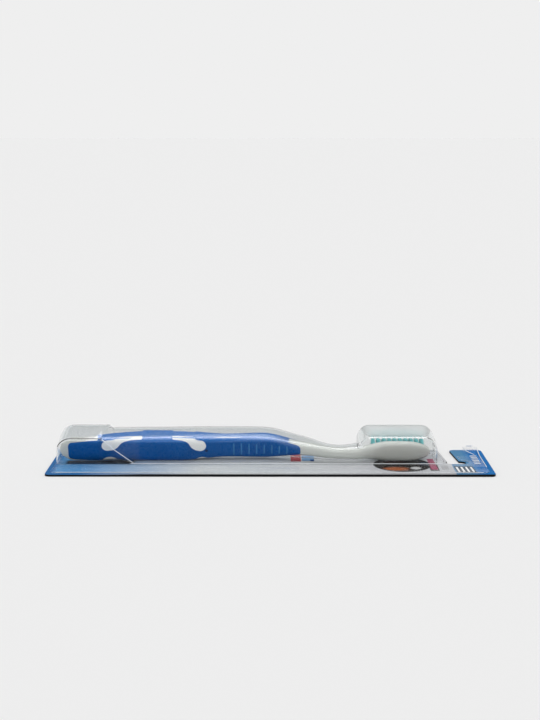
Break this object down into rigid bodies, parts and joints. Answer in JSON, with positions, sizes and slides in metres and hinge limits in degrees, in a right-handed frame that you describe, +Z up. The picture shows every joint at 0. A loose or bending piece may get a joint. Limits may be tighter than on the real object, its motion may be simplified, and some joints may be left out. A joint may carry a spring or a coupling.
{
  "type": "manual toothbrush",
  "caption": "Manual toothbrush with a soft overmoulded grip, lying on its side in a clear blister on a hang card; the blister peels open and the brush tips out.",
  "frame": {"origin": "centre of the card's rear face, which lies on the surface", "axes": "+X along the pack from the brush's tail to its head, +Z up out of the card's front, +Y away from the brush's back towards its bristles"},
  "size_m": [0.224, 0.052, 0.0182],
  "materials": {
    "white_plastic": "gloss",
    "blue_grip": "satin",
    "bristle": "satin",
    "anchor_metal": "satin",
    "dark_board": "matte",
    "printed_board": "satin",
    "clear_plastic": "gloss"
  },
  "bodies": {
    "card": {"rear_card": "dark_board", "printed_card": "printed_board"},
    "blister": {"blister_shell": "clear_plastic"},
    "brush": {"handle_core": "white_plastic", "grip_overmould": "blue_grip", "tuft_anchors": "anchor_metal", "tuft_01": "bristle", "tuft_02": "bristle", "tuft_03": "bristle", "tuft_04": "bristle", "tuft_05": "bristle", "tuft_06": "bristle", "tuft_07": "bristle", "tuft_08": "bristle", "tuft_09": "bristle", "tuft_10": "bristle", "tuft_11": "bristle", "tuft_12": "bristle", "tuft_13": "bristle", "tuft_14": "bristle", "tuft_15": "bristle", "tuft_16": "bristle", "tuft_17": "bristle", "tuft_18": "bristle", "tuft_19": "bristle", "tuft_20": "bristle", "tuft_21": "bristle", "tuft_22": "bristle", "tuft_23": "bristle", "tuft_24": "bristle", "tuft_25": "bristle", "tuft_26": "bristle", "tuft_27": "bristle", "tuft_28": "bristle", "tuft_29": "bristle", "tuft_30": "bristle", "tuft_31": "bristle", "tuft_32": "bristle", "tuft_33": "bristle", "tuft_34": "bristle", "tuft_35": "bristle", "tuft_36": "bristle", "tuft_37": "bristle"}
  },
  "joints": [
    {"name": "blister_peel", "type": "hinge", "parent": "card", "child": "blister", "pos_m": [-0.11, 0, 0.001], "axis": [0, -1, 0], "range_deg": [0, 90]},
    {"name": "brush_tip_out", "type": "hinge", "parent": "card", "child": "brush", "pos_m": [-0.11, 0, 0.001], "axis": [0, -1, 0], "range_deg": [0, 45]}
  ],
  "couplings": [
    {"joint": "brush_tip_out", "follows": "blister_peel", "ratio": 0.5}
  ]
}
